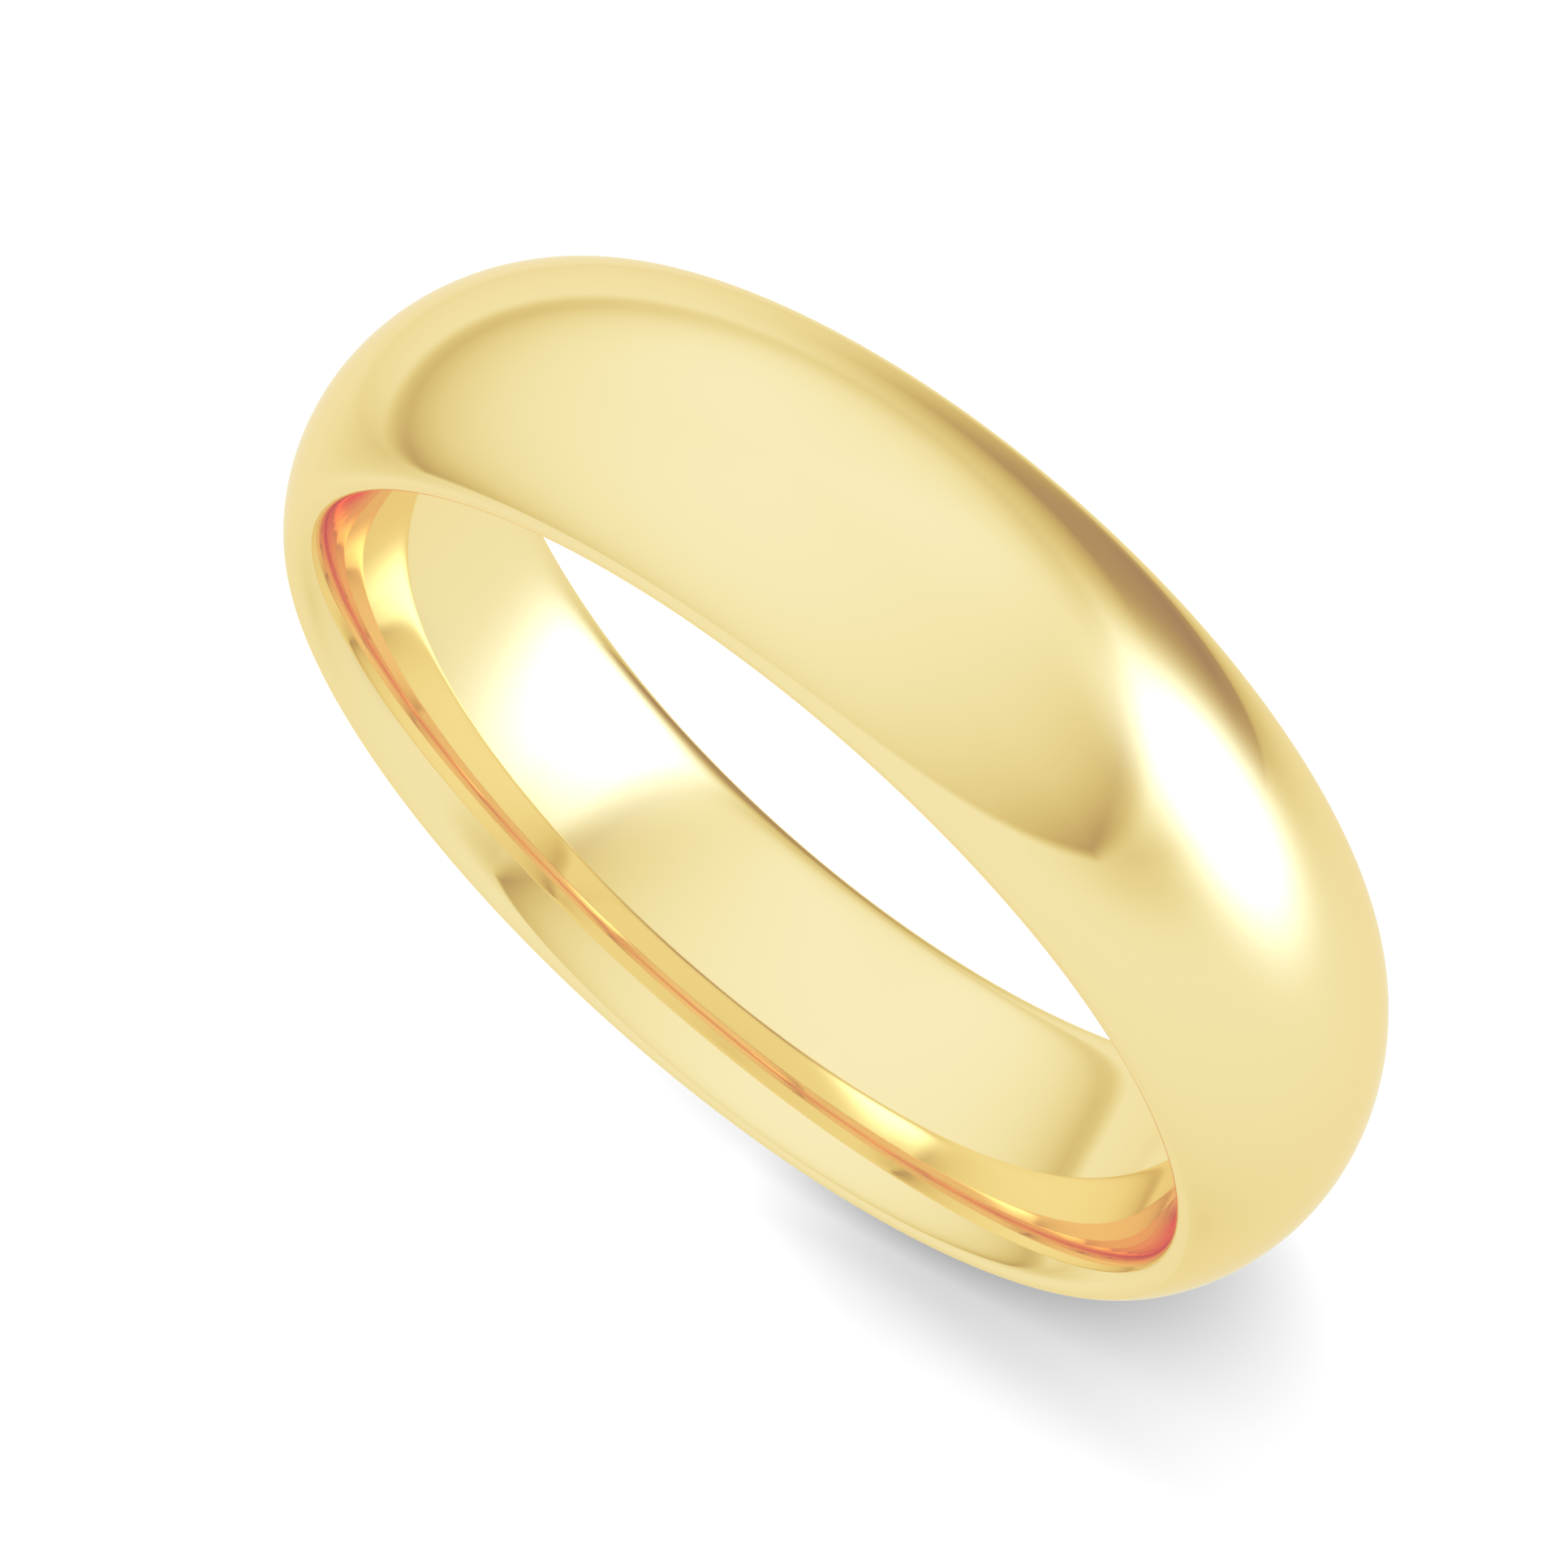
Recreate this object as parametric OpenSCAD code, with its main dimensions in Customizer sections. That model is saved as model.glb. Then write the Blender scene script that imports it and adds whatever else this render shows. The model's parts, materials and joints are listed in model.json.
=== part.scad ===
// Plain domed wedding band with a comfort-fit bore, in millimetres.
// The finger axis lies along Y, +Z is up, and the origin is the centre of the bore.
// The band is a shaped bar bent round and closed by one soldered joint at the bottom.

/* [Size] */
// Inside diameter, measured on the flat land in the middle of the bore
bore_d = 16.92; // [14:0.01:23]
// Width of the band along the finger
band_w = 5.0; // [2.5:0.1:8]
// Thickness of the band at the crown of the dome
band_t = 1.77; // [1.2:0.01:2.6]

/* [Section] */
// Height above the bore at which the band is widest
shoulder_h = 0.63; // [0.3:0.01:0.9]
// Fullness of the dome: 0.5 is a half ellipse, 1 is a parabola
dome_power = 0.76; // [0.5:0.01:1]
// Length of the flat land in the middle of the bore
land_w = 0.6; // [0.4:0.1:1.5]
// How gently the bore leaves its flat land
comfort_start = 1.55; // [1.3:0.05:3]
// How tightly the bore rounds into the shoulders: smaller is tighter
comfort_power = 0.30; // [0.25:0.01:0.5]

/* [Joint] */
// Thickness of the solder that closes the band
solder_t = 0.08; // [0.05:0.01:0.2]

/* [Smoothness] */
// Steps across the dome
dome_steps = 48; // [16:4:96]
// Steps on each side of the bore, from the land to the shoulder
comfort_steps = 14; // [6:1:32]

/* [Hidden] */
$fn = 180;
bore_r = bore_d / 2;
outer_r = bore_r + band_t;
shoulder_r = bore_r + shoulder_h;
half_w = band_w / 2;
land = land_w / band_w;
// how far the joint's cutting block runs past the band
past = 1;

// Radius of the dome at s, which runs from -1 to 1 across the band
function dome_r(s) = shoulder_r + (outer_r - shoulder_r) * pow(max(0, 1 - s * s), dome_power);

// Radius of the bore at t, which runs from 0 at the land to 1 at the shoulder
function comfort_r(t) = shoulder_r - shoulder_h * pow(max(0, 1 - pow(t, comfort_start)), comfort_power);

// Place across the band of the bore's point t, as a share of the half width
function comfort_s(t) = land + (1 - land) * t;

// Steps from 0 to 1 that crowd together towards 1, where the bore turns tightest
function crowded(u) = 1 - pow(1 - u, 3);

// The band's section: radius along x, place along the finger along y
module section() {
    dome = [for (i = [0:dome_steps])
        let (s = sin(180 * i / dome_steps - 90)) [dome_r(s), half_w * s]];
    upper = [for (i = [comfort_steps - 1:-1:0])
        let (t = crowded(i / comfort_steps)) [comfort_r(t), half_w * comfort_s(t)]];
    lower = [for (i = [0:comfort_steps - 1])
        let (t = crowded(i / comfort_steps)) [comfort_r(t), -half_w * comfort_s(t)]];
    polygon(concat(dome, upper, lower));
}

// The whole band as one ring round the finger axis
module ring() {
    rotate([90, 0, 0])
        rotate_extrude()
            section();
}

// The slot at the bottom of the band that the solder fills
module joint_slot() {
    slot_h = band_t + 2 * past;
    translate([-solder_t / 2, -half_w - past, -outer_r - past])
        cube([solder_t, band_w + 2 * past, slot_h]);
}

// The domed bar, bent round until its ends almost meet
module shank() {
    color("#F0DC9A")
        difference() {
            ring();
            joint_slot();
        }
}

// The colour-matched solder that joins the two ends, filed flush with the band
module solder_joint() {
    color("#EAD492")
        intersection() {
            ring();
            joint_slot();
        }
}

shank();
solder_joint();
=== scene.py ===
import json
import math
import bpy
import numpy as np
from mathutils import Matrix, Vector


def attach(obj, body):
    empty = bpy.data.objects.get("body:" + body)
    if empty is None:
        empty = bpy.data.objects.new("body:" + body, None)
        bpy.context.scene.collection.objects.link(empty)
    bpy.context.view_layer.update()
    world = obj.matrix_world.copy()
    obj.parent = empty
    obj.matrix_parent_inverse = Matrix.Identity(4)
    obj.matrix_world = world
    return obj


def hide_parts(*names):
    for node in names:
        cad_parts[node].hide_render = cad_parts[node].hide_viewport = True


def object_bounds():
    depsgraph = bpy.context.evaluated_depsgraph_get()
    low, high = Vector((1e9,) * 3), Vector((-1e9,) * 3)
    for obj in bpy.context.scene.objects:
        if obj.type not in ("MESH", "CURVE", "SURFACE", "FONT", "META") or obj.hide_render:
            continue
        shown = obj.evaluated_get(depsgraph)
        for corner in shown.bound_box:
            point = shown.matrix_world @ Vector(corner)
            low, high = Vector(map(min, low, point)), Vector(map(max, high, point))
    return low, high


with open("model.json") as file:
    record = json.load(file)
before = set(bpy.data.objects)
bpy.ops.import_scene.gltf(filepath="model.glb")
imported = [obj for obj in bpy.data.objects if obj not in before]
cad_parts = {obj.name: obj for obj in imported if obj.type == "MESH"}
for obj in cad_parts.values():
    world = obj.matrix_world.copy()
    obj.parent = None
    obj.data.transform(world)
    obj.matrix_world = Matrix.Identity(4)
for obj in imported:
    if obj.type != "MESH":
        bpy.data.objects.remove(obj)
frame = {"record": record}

# Wedding band in polished pale yellow gold, metres throughout.
# The finger axis is Y, up is Z, and the band stands on its soldered joint at the bottom.

cadLow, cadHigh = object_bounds()
mm = 0.001
outerRadius = cadHigh.z
halfWidth = cadHigh.y
boreRadius = frame["record"]["mounts"][0]["dims"]["r_mm"] * mm
print("frame loaded: outside radius %.2f mm, bore radius %.2f mm" % (outerRadius / mm, boreRadius / mm))


class Wire:
    # One number carried by a node tree, so that a formula can be written out plainly.
    def __init__(self, tree, socket):
        self.tree = tree
        self.socket = socket

    def op(self, kind, *others):
        step = self.tree.nodes.new("ShaderNodeMath")
        step.operation = kind
        for place, value in enumerate((self,) + others):
            if isinstance(value, Wire):
                self.tree.links.new(value.socket, step.inputs[place])
            else:
                step.inputs[place].default_value = value
        return Wire(self.tree, step.outputs[0])

    def flipped(self, kind, first):
        # the same with a plain number in front, as in 2 - wire
        step = self.tree.nodes.new("ShaderNodeMath")
        step.operation = kind
        step.inputs[0].default_value = first
        self.tree.links.new(self.socket, step.inputs[1])
        return Wire(self.tree, step.outputs[0])

    def __add__(self, other):
        return self.op("ADD", other)

    def __sub__(self, other):
        return self.op("SUBTRACT", other)

    def __rsub__(self, first):
        return self.flipped("SUBTRACT", first)

    def __mul__(self, other):
        return self.op("MULTIPLY", other)

    def __truediv__(self, other):
        return self.op("DIVIDE", other)

    def __pow__(self, other):
        return self.op("POWER", other)

    def __rpow__(self, first):
        return self.flipped("POWER", first)

    def atLeast(self, low):
        return self.op("MAXIMUM", low)

    def atMost(self, high):
        return self.op("MINIMUM", high)

    def size(self):
        return self.op("ABSOLUTE")

    def dyingAway(self):
        # e to the power of minus this: 1 at zero, and falling from there
        return (self * -1.0).op("EXPONENT")

    def ramp(self, low, high):
        # 0 at low, 1 at high, with a soft start and end
        step = self.tree.nodes.new("ShaderNodeMapRange")
        step.interpolation_type = "SMOOTHSTEP"
        self.tree.links.new(self.socket, step.inputs["Value"])
        step.inputs["From Min"].default_value = low
        step.inputs["From Max"].default_value = high
        return Wire(self.tree, step.outputs["Result"])

    def wave(self, kind):
        # sine or cosine of an angle in degrees
        return self.op("RADIANS").op(kind)

    def angle(self, kind):
        # arcsine or arccosine in degrees
        return self.atLeast(-1.0).atMost(1.0).op(kind).op("DEGREES")


def node(tree, kind, **values):
    made = tree.nodes.new(kind)
    for name, value in values.items():
        setattr(made, name, value)
    return made


view = {
    "azimuth": 60.85,  # degrees round the band, 0 looks along +Y
    "elevation": 44.05,  # degrees above the floor
    "roll": -27.0,  # the camera is turned this far in its own plane
    "lens": 83.1,  # mm
    "sensor": 36.0,  # mm
    "distance": 5.70,  # from the band's centre, in outside radii
    "right": -0.0514,  # where the camera aims beside the centre, in outside radii
    "up": 0.0242,
    "nearest": 0.001,  # metres
    "farthest": 10.0,
}


def makeCamera(v):
    azimuth = math.radians(v["azimuth"])
    elevation = math.radians(v["elevation"])
    back = Vector((
        math.sin(azimuth) * math.cos(elevation),
        -math.cos(azimuth) * math.cos(elevation),
        math.sin(elevation),
    ))
    level = Vector((math.cos(azimuth), math.sin(azimuth), 0.0))
    right = Matrix.Rotation(math.radians(v["roll"]), 3, back) @ level
    up = back.cross(right)
    camera = bpy.data.cameras.new("bandCamera")
    camera.lens = v["lens"]
    camera.sensor_width = v["sensor"]
    camera.clip_start = v["nearest"]
    camera.clip_end = v["farthest"]
    holder = bpy.data.objects.new("bandCamera", camera)
    bpy.context.scene.collection.objects.link(holder)
    turn = Matrix((right, up, back)).transposed().to_4x4()
    place = outerRadius * (v["right"] * right + v["up"] * up + v["distance"] * back)
    holder.matrix_world = Matrix.Translation(place) @ turn
    bpy.context.scene.camera = holder


makeCamera(view)
print("camera set")


# All angles are in degrees. Darkness is a share of the full white.
studio = {
    "turn": 44.25,  # the way the studio faces round the band
    "lean": 16.44,  # how far the studio's horizon leans away from the floor's
    "horizon": -1.5,
    "coveStart": -76.5,  # where the cove's edge leaves the horizon, on its way round
    "coveSpan": 233.0,
    "coveHeight": 38.0,
    "wallDark": 0.42,  # how dark the wall is just over its lower edge
    "wallSwing": 0.235,  # how much that changes, twice round the studio
    "wallPhase": 45.0,
    "wallReach": 23.5,  # height over which the wall brightens
    "wallShorten": 0.50,  # share of the cove's height that is taken off that reach
    "wallSoft": (2.0, 5.5),  # half width of its lower edge, on the horizon and at most
    "wallSoften": 0.4,  # how fast that grows with the cove's height
    "footDark": 0.065,  # faint line at the cove's foot
    "footFade": 8.0,
    "footStart": (-5.0, 1.0),  # heights between which it comes in
    "footCover": (0.0, -6.0),  # how far below the cove's edge it comes in
    "flagDark": 0.67,  # the dark flag
    "flagAt": 46.0,
    "flagWidth": 28.0,
    "flagSharp": 3.0,  # how abruptly its sides end
    "flagTop": 18.5,  # height where it starts to fade upwards
    "flagFade": 14.2,
    "flagEdge": (-6.5, -4.8),  # heights of the step between the flag and its dark mirror image
    "imageDark": 0.47,
    "imageTop": -5.7,  # height where that image starts to fade downwards
    "imageFade": 7.6,
    "cornerDark": 0.20,  # the two corners where the cove meets the horizon
    "cornerAt": (-66.0, 145.0),
    "cornerLevel": -2.0,
    "cornerWidth": 21.0,
    "cornerHeight": 11.0,
    "floorDark": 0.09,
    "floorEdge": 3.0,  # half width of the floor's edge
    "underDark": 0.177,  # straight down
    "underFade": 24.0,
    "leastBright": 0.05,
    "lampAt": (98.0, 3.0),  # azimuth and height of the round lamp
    "lampPower": 2.9,
    "lampSpread": 22.3,
    "lampSharp": 2.8,  # how abruptly it ends
    "lampTint": (0.37, 0.53, 1.0),
    "warmth": (0.64, 1.0, 2.75),  # dim parts turn warm: each channel is the brightness to this power
    "deepFrom": 2.0,  # mirrorings before the deep tint starts
    "deepTint": (1.02, 0.86, 1.0),  # what each mirroring past those keeps of the light
    "floorLight": 0.83,  # the even light that falls on the floor
}


def wallShade(s, azimuth, height):
    # How dark the wall, the cove's foot and the floor are. The wall stands on the horizon, or on the
    # cove's edge where that rises over it as half a sine wave. It is darkest at its lower edge.
    coveTurn = (azimuth - s["coveStart"]) * (180.0 / s["coveSpan"])
    rise = coveTurn.wave("SINE").atLeast(0.0) * s["coveHeight"]
    over = height - rise - s["horizon"]
    depth = ((azimuth + s["wallPhase"]) * 2.0).wave("COSINE") * s["wallSwing"] + s["wallDark"]
    reach = s["wallReach"] - rise * s["wallShorten"]
    sharp, blurred = s["wallSoft"]
    soft = (rise * s["wallSoften"] + sharp).atMost(blurred)
    wall = depth * (over.atLeast(0.0) / reach).dyingAway() * (over / soft).ramp(-1.0, 1.0)
    foot = (height.atLeast(0.0) / s["footFade"]).dyingAway() * height.ramp(*s["footStart"])
    foot = foot * over.ramp(*s["footCover"]) * s["footDark"]
    under = ((height + 90.0) / s["underFade"]).dyingAway() * s["underDark"]
    below = under + over.ramp(s["floorEdge"], -s["floorEdge"]) * s["floorDark"]
    return wall, foot, below


def flagShade(s, azimuth, height):
    # How dark the flag is: full near its middle, dying away at its sides, upwards, and downwards in
    # its mirror image.
    low, high = s["flagEdge"]
    across = (((azimuth - s["flagAt"]).size() / s["flagWidth"]) ** s["flagSharp"]).dyingAway()
    upward = ((height - s["flagTop"]).atLeast(0.0) / s["flagFade"]).dyingAway()
    upward = upward * height.ramp(low, high) * s["flagDark"]
    downward = ((s["imageTop"] - height).atLeast(0.0) / s["imageFade"]).dyingAway()
    downward = downward * height.ramp(high, low) * s["imageDark"]
    return across * (upward + downward)


def cornerShade(s, azimuth, height):
    # How dark the corners are: exp(-(aside/width)**2 - (above/height)**2) round each.
    shade = 0.0
    for place in s["cornerAt"]:
        aside = ((azimuth - place) / s["cornerWidth"]) ** 2.0
        above = ((height - s["cornerLevel"]) / s["cornerHeight"]) ** 2.0
        shade = (aside + above).dyingAway() * s["cornerDark"] + shade
    return shade


def lampGlow(s, x, y, z):
    # How bright the round lamp is, by the angle between the direction and its middle.
    azimuth, height = (math.radians(v) for v in s["lampAt"])
    facing = x * (math.sin(azimuth) * math.cos(height))
    facing = facing + y * (math.cos(azimuth) * math.cos(height)) + z * math.sin(height)
    away = facing.angle("ARCCOSINE")
    return ((away / s["lampSpread"]) ** s["lampSharp"]).dyingAway() * s["lampPower"]


def makeWorld(s):
    # What the band mirrors, by direction: white, less the shades, plus the lamp. The floor gets plain
    # even light instead, and the camera sees white.
    world = bpy.data.worlds.new("studio")
    bpy.context.scene.world = world
    world.use_nodes = True
    tree = world.node_tree
    tree.nodes.clear()
    link = tree.links.new
    coord = node(tree, "ShaderNodeTexCoord")
    turn = node(tree, "ShaderNodeMapping", vector_type="POINT")
    turn.inputs["Rotation"].default_value = (math.radians(s["lean"]), 0.0, -math.radians(s["turn"]))
    link(coord.outputs["Generated"], turn.inputs["Vector"])
    split = node(tree, "ShaderNodeSeparateXYZ")
    link(turn.outputs["Vector"], split.inputs[0])
    x, y, z = (Wire(tree, split.outputs[i]) for i in range(3))
    azimuth = x.op("ARCTAN2", y).op("DEGREES")
    height = z.angle("ARCSINE")

    wall, foot, below = wallShade(s, azimuth, height)
    flag = flagShade(s, azimuth, height)
    corner = cornerShade(s, azimuth, height)
    bright = (1.0 - wall - foot - below - flag - corner).atLeast(s["leastBright"])
    glow = lampGlow(s, x, y, z)

    path = node(tree, "ShaderNodeLightPath")
    deeper = (Wire(tree, path.outputs["Glossy Depth"]) - s["deepFrom"]).atLeast(0.0)
    combine = node(tree, "ShaderNodeCombineColor")
    for channel in range(3):
        kept = s["deepTint"][channel] ** deeper
        value = (bright ** s["warmth"][channel] + glow * s["lampTint"][channel]) * kept
        link(value.socket, combine.inputs[channel])
    plain = Wire(tree, path.outputs["Is Camera Ray"]) * (1.0 - s["floorLight"]) + s["floorLight"]
    shown = node(tree, "ShaderNodeMix", data_type="RGBA")
    link(path.outputs["Is Glossy Ray"], shown.inputs["Factor"])
    link(plain.socket, shown.inputs["A"])
    link(combine.outputs["Color"], shown.inputs["B"])
    background = node(tree, "ShaderNodeBackground")
    output = node(tree, "ShaderNodeOutputWorld")
    link(shown.outputs["Result"], background.inputs["Color"])
    link(background.outputs["Background"], output.inputs["Surface"])


makeWorld(studio)

paleFloor = {
    "halfSide": 1.5,  # metres
    "tone": 0.86,
    "rough": 0.9,
    "contactDark": 0.5,  # how dark the shadow under the band looks in the band itself
    "contactReach": (4.0 * mm, 2.0 * mm),  # along X and Y
}


def makeFloor(f):
    # A level square at the height of the band's lowest point. The band mirrors the studio through it,
    # dimmed near the contact by the shadow: 1 - dark * exp(-(x/reachX)**2 - (y/reachY)**2).
    corners = np.array([[-1, -1, 0], [1, -1, 0], [1, 1, 0], [-1, 1, 0]], float) * f["halfSide"]
    corners[:, 2] = cadLow.z
    mesh = bpy.data.meshes.new("paleFloor")
    mesh.from_pydata(corners.tolist(), [], [[0, 1, 2, 3]])
    paint = bpy.data.materials.new("palePaper")
    paint.use_nodes = True
    tree = paint.node_tree
    link = tree.links.new
    shader = tree.nodes["Principled BSDF"]
    shader.inputs["Roughness"].default_value = f["rough"]
    shader.inputs["Specular IOR Level"].default_value = 0.0
    shader.inputs["Base Color"].default_value = (f["tone"],) * 3 + (1.0,)
    coord = node(tree, "ShaderNodeTexCoord")
    split = node(tree, "ShaderNodeSeparateXYZ")
    link(coord.outputs["Object"], split.inputs[0])
    reachX, reachY = f["contactReach"]
    alongX = (Wire(tree, split.outputs[0]) / reachX) ** 2.0
    alongY = (Wire(tree, split.outputs[1]) / reachY) ** 2.0
    dimmed = 1.0 - (alongX + alongY).dyingAway() * f["contactDark"]
    through = node(tree, "ShaderNodeBsdfTransparent")
    link(dimmed.socket, through.inputs["Color"])
    path = node(tree, "ShaderNodeLightPath")
    either = node(tree, "ShaderNodeMixShader")
    link(path.outputs["Is Glossy Ray"], either.inputs[0])
    link(shader.outputs["BSDF"], either.inputs[1])
    link(through.outputs["BSDF"], either.inputs[2])
    link(either.outputs["Shader"], tree.nodes["Material Output"].inputs["Surface"])
    mesh.materials.append(paint)
    floor = bpy.data.objects.new("paleFloor", mesh)
    bpy.context.scene.collection.objects.link(floor)


makeFloor(paleFloor)

# each soft lamp: azimuth from +Y towards +X, angle from straight up, spread (degrees), strength
softLamps = {
    "sideLamp": (90.0, 45.0, 80.0, 2.55),
    "lowLamp": (300.0, 68.0, 40.0, 3.66),
}


def makeLamps(lamps):
    for name, (azimuth, tilt, spread, strength) in lamps.items():
        azimuth = math.radians(azimuth)
        tilt = math.radians(tilt)
        towards = Vector((
            math.sin(tilt) * math.sin(azimuth),
            math.sin(tilt) * math.cos(azimuth),
            math.cos(tilt),
        ))
        lamp = bpy.data.lights.new(name, "SUN")
        lamp.angle = math.radians(spread)
        lamp.energy = strength
        holder = bpy.data.objects.new(name, lamp)
        bpy.context.scene.collection.objects.link(holder)
        holder.rotation_euler = towards.to_track_quat("Z", "Y").to_euler()
        holder.visible_glossy = False  # the band mirrors the studio round it, not these


makeLamps(softLamps)
print("studio set")


gold = {
    "light": (0.950, 0.825, 0.433, 1.0),
    "deep": (0.944, 0.817, 0.423, 1.0),
    "edgeTint": (0.975, 0.890, 0.667, 1.0),
    "driftScale": 350.0,  # patches of tone per metre
    "driftDetail": 3.0,
    "roughLow": 0.020,
    "roughHigh": 0.035,
    "marksAlong": 60.0,  # polishing marks round the band
    "marksAcross": 900.0,  # and round its section
    "marksDetail": 4.0,
    "marksRange": (0.3, 0.7),  # the noise between these spans the two roughnesses
    "marksDepth": 0.000000015,  # metres
}


def makeGold(name, g):
    # The metal's tone drifts a little over a few millimetres; fine polishing marks run round the band
    # and change the gloss and the surface by a hair.
    paint = bpy.data.materials.new(name)
    paint.use_nodes = True
    tree = paint.node_tree
    link = tree.links.new
    shader = tree.nodes["Principled BSDF"]
    shader.inputs["Metallic"].default_value = 1.0
    shader.inputs["Specular Tint"].default_value = g["edgeTint"]
    coord = node(tree, "ShaderNodeTexCoord")
    drift = node(tree, "ShaderNodeTexNoise")
    drift.inputs["Scale"].default_value = g["driftScale"]
    drift.inputs["Detail"].default_value = g["driftDetail"]
    link(coord.outputs["Object"], drift.inputs["Vector"])
    tone = node(tree, "ShaderNodeMix", data_type="RGBA")
    tone.inputs["A"].default_value = g["deep"]
    tone.inputs["B"].default_value = g["light"]
    link(drift.outputs["Fac"], tone.inputs["Factor"])
    link(tone.outputs["Result"], shader.inputs["Base Color"])
    run = node(tree, "ShaderNodeUVMap", uv_map="bandRun")
    stretch = node(tree, "ShaderNodeMapping", vector_type="POINT")
    stretch.inputs["Scale"].default_value = (g["marksAlong"], g["marksAcross"], 1.0)
    link(run.outputs["UV"], stretch.inputs["Vector"])
    marks = node(tree, "ShaderNodeTexNoise")
    marks.inputs["Scale"].default_value = 1.0
    marks.inputs["Detail"].default_value = g["marksDetail"]
    link(stretch.outputs["Vector"], marks.inputs["Vector"])
    gloss = node(tree, "ShaderNodeMapRange")
    gloss.inputs["From Min"].default_value = g["marksRange"][0]
    gloss.inputs["From Max"].default_value = g["marksRange"][1]
    gloss.inputs["To Min"].default_value = g["roughLow"]
    gloss.inputs["To Max"].default_value = g["roughHigh"]
    link(marks.outputs["Fac"], gloss.inputs["Value"])
    link(gloss.outputs["Result"], shader.inputs["Roughness"])
    bump = node(tree, "ShaderNodeBump")
    bump.inputs["Strength"].default_value = 1.0
    bump.inputs["Distance"].default_value = g["marksDepth"]
    link(marks.outputs["Fac"], bump.inputs["Height"])
    link(bump.outputs["Normal"], shader.inputs["Normal"])
    return paint


band = {
    "shoulder": 0.63 * mm,  # the widest point's height above the bore
    "domePower": 0.76,  # fullness of the dome
    "borePower": 0.325,  # how tightly the bore rounds into the shoulders: smaller is tighter
    "jointGap": 0.08 * mm,  # thickness of the solder
    "domeSteps": 72,  # even: the bore takes half as many on each side of its middle
    "crowding": 3,  # how closely the bore's points crowd towards the shoulders
    "shankSteps": 512,
    "solderSteps": 2,
}


def profile(s, base, height, power):
    # Radius at s, from -1 to 1 across the width, and its slope: base + height * (1 - s*s)**power.
    room = np.maximum(1.0 - s * s, 0.0)
    steep = np.maximum(room, 1e-12)  # keeps the slope finite where the curve stands upright
    radius = base + height * room ** power
    slope = -2.0 * s * height * power * steep ** (power - 1.0)
    return radius, slope


def bandSection(b):
    # The section as a closed loop: radius, place along the finger, and the unit normal of each point.
    # The dome rises from the shoulders to the outside radius and the bore drops from them to its own,
    # each by its power of (1 - s*s).
    widest = boreRadius + b["shoulder"]
    s = np.sin(np.linspace(-0.5, 0.5, b["domeSteps"] + 1) * np.pi)
    radius, slope = profile(s, widest, outerRadius - widest, b["domePower"])
    dome = np.stack([radius, halfWidth * s], 1)
    domeN = np.stack([np.full_like(s, halfWidth), -slope], 1)
    domeN[0] = (0.0, -1.0)
    domeN[-1] = (0.0, 1.0)

    # the bore has as many points between the shoulders as the dome, so the flat ends pair them up
    u = np.linspace(0.0, 1.0, b["domeSteps"] // 2 + 1)[1:-1]
    s = 1.0 - (1.0 - u) ** b["crowding"]
    radius, slope = profile(s, widest, -b["shoulder"], b["borePower"])
    upper = np.stack([radius, halfWidth * s], 1)[::-1]  # from beside the shoulder to beside the middle
    upperN = np.stack([np.full_like(s, -halfWidth), slope], 1)[::-1]
    lower = upper[::-1] * (1.0, -1.0)
    lowerN = upperN[::-1] * (1.0, -1.0)
    points = np.concatenate([dome, upper, [[boreRadius, 0.0]], lower])
    normals = np.concatenate([domeN, upperN, [[-1.0, 0.0]], lowerN])
    normals /= np.linalg.norm(normals, axis=1, keepdims=True)
    return points, normals


def carried(section, angle):
    # Carries the section's (r, y) round the finger axis, to (r sin a, y, -r cos a).
    radius = section[:, 0]
    along = np.broadcast_to(section[:, 1], angle.shape)
    return np.stack([radius * np.sin(angle), along, -radius * np.cos(angle)], 2)


def bandFaces(count, far, turnSteps):
    # Quads between neighbouring sections of count points each, then the two flat ends. An end is strips
    # between each dome point and the bore point that faces it, and a triangle at each shoulder, the
    # points 0 and far. Also gives how many corners the quads have, and which way along X each corner of
    # the ends faces.
    row = np.arange(turnSteps)[:, None] * count
    here = np.arange(count)[None, :]
    after = (here + 1) % count
    quads = np.stack([row + here, row + after, row + count + after, row + count + here], 2)
    i = np.arange(1, far - 1)
    strip = np.stack([i, i + 1, count - i - 1, count - i], 1)
    tips = np.array([[0, 1, count - 1], [far - 1, far, far + 1]])
    last = turnSteps * count
    faces = quads.reshape(-1, 4).tolist()
    faces += strip[:, ::-1].tolist() + (strip + last).tolist()
    faces += tips[:, ::-1].tolist() + (tips + last).tolist()
    endSign = np.repeat([-1.0, 1.0, -1.0, 1.0], (strip.size, strip.size, tips.size, tips.size))
    return faces, quads.size, endSign


def bandRun(points, angle, vertex, quadCorners):
    # The polish's map, for each corner of the faces: how far round the band, and how far round the
    # section, as shares of the whole way.
    count = len(points)
    ring = (angle / (2.0 * np.pi)).reshape(-1)
    edge = np.linalg.norm(np.diff(points, axis=0, append=points[:1]), axis=1)
    across = np.concatenate([[0.0], np.cumsum(edge)[:-1]]) / edge.sum()
    across = np.broadcast_to(across, angle.shape).reshape(-1)
    uv = np.stack([ring[vertex], across[vertex]], 1)
    # where the section closes, its first point is also its end
    column = np.arange(quadCorners) // 4 % count
    closing = (vertex[:quadCorners] % count == 0) & (column == count - 1)
    uv[:quadCorners][closing, 1] = 1.0
    return uv


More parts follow.
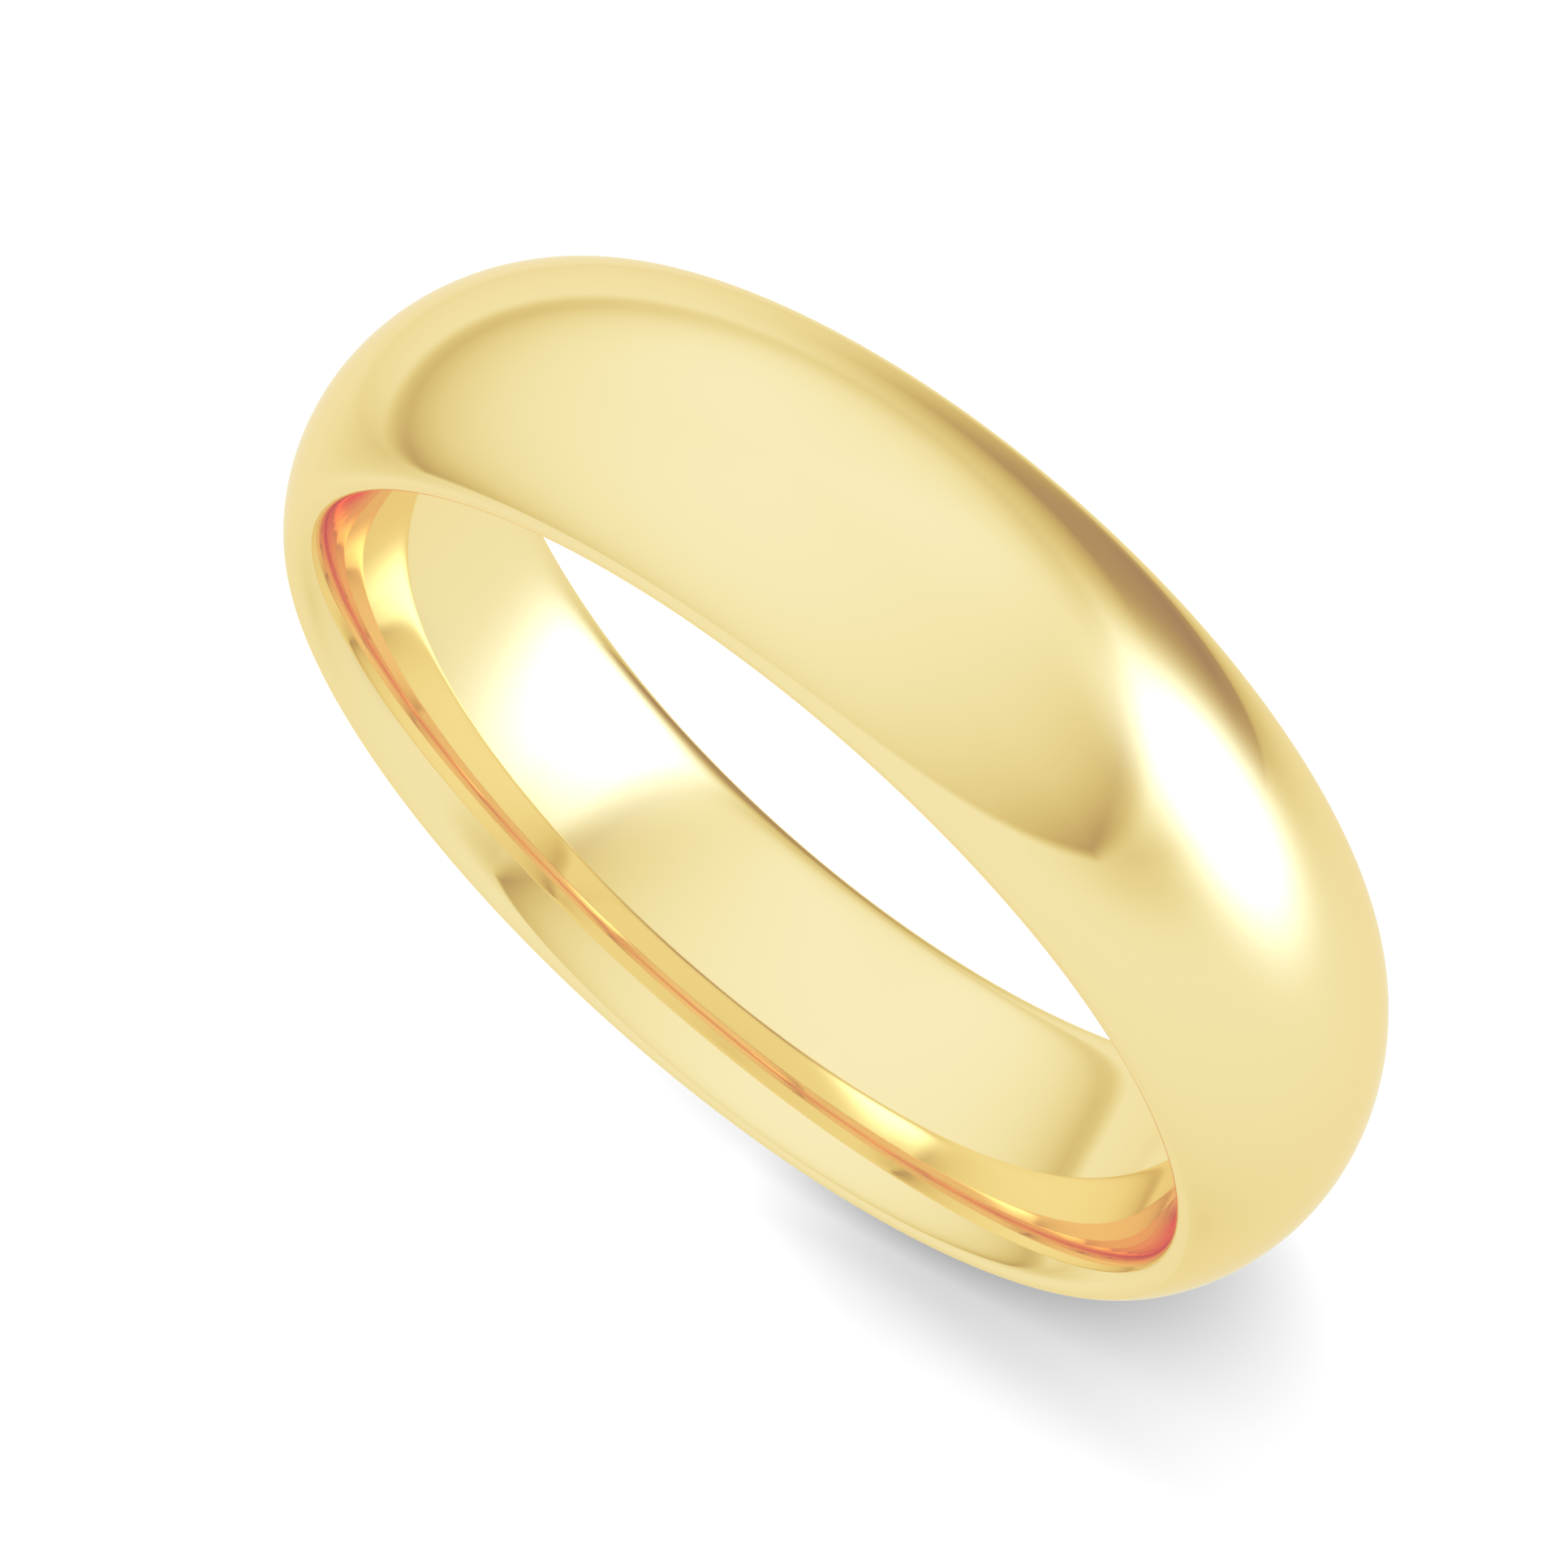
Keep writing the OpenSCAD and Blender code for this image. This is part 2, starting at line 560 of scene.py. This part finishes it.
def bandPiece(name, b, fromSolder, turnSteps, paint):
    # The section carried round from one face of the joint to the other: the long way for the shank,
    # and across the joint for the solder. Those faces are flat and parallel, so each point starts at
    # asin(halfGap / r) from the bottom.
    points, normals = bandSection(b)
    start = np.arcsin(b["jointGap"] / 2.0 / points[:, 0])
    share = np.linspace(0.0, 1.0, turnSteps + 1)[:, None]
    if fromSolder:
        angle = -start + 2.0 * start * share
    else:
        angle = start + (2.0 * np.pi - 2.0 * start) * share
    faces, quadCorners, endSign = bandFaces(len(points), b["domeSteps"], turnSteps)
    mesh = bpy.data.meshes.new(name)
    mesh.from_pydata(carried(points, angle).reshape(-1, 3).tolist(), [], faces)

    vertex = np.empty(len(mesh.loops), np.int32)
    mesh.loops.foreach_get("vertex_index", vertex)
    facing = carried(normals, angle).reshape(-1, 3)[vertex]
    facing[quadCorners:] = 0.0
    facing[quadCorners:, 0] = endSign
    uv = bandRun(points, angle, vertex, quadCorners)
    layer = mesh.uv_layers.new(name="bandRun")
    layer.data.foreach_set("uv", uv.astype(np.float32).reshape(-1))

    mesh.polygons.foreach_set("use_smooth", np.ones(len(mesh.polygons), bool))
    mesh.normals_split_custom_set(facing.tolist())
    mesh.materials.append(paint)
    mesh.validate()
    mesh.update()
    piece = bpy.data.objects.new(name, mesh)
    bpy.context.scene.collection.objects.link(piece)
    return piece


bandGold = makeGold("polishedYellowGold", gold)
jointGold = makeGold("goldSolder", gold)

shank = bandPiece("bandShank", band, False, band["shankSteps"], bandGold)
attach(shank, "root")
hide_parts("shank")
print("shank built with %d faces" % len(shank.data.polygons))

solder = bandPiece("bandSolder", band, True, band["solderSteps"], jointGold)
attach(solder, "root")
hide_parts("solder_joint")
print("solder built with %d faces" % len(solder.data.polygons))

finish = {
    "softBlack": 0.108,  # black is lifted this far
    "mirrorings": 32,  # how often light may bounce inside the bore
}


def setFinish(f):
    scene = bpy.context.scene
    scene.view_settings.view_transform = "Standard"
    scene.view_settings.use_curve_mapping = True
    toneCurve = scene.view_settings.curve_mapping
    allChannels = toneCurve.curves[3]
    for point, place in zip(allChannels.points, ((0.0, f["softBlack"]), (1.0, 1.0))):
        point.location = place
        point.handle_type = "VECTOR"
    toneCurve.update()
    scene.cycles.max_bounces = f["mirrorings"]
    scene.cycles.glossy_bounces = f["mirrorings"]
    scene.cycles.caustics_reflective = False


setFinish(finish)
print("view set")
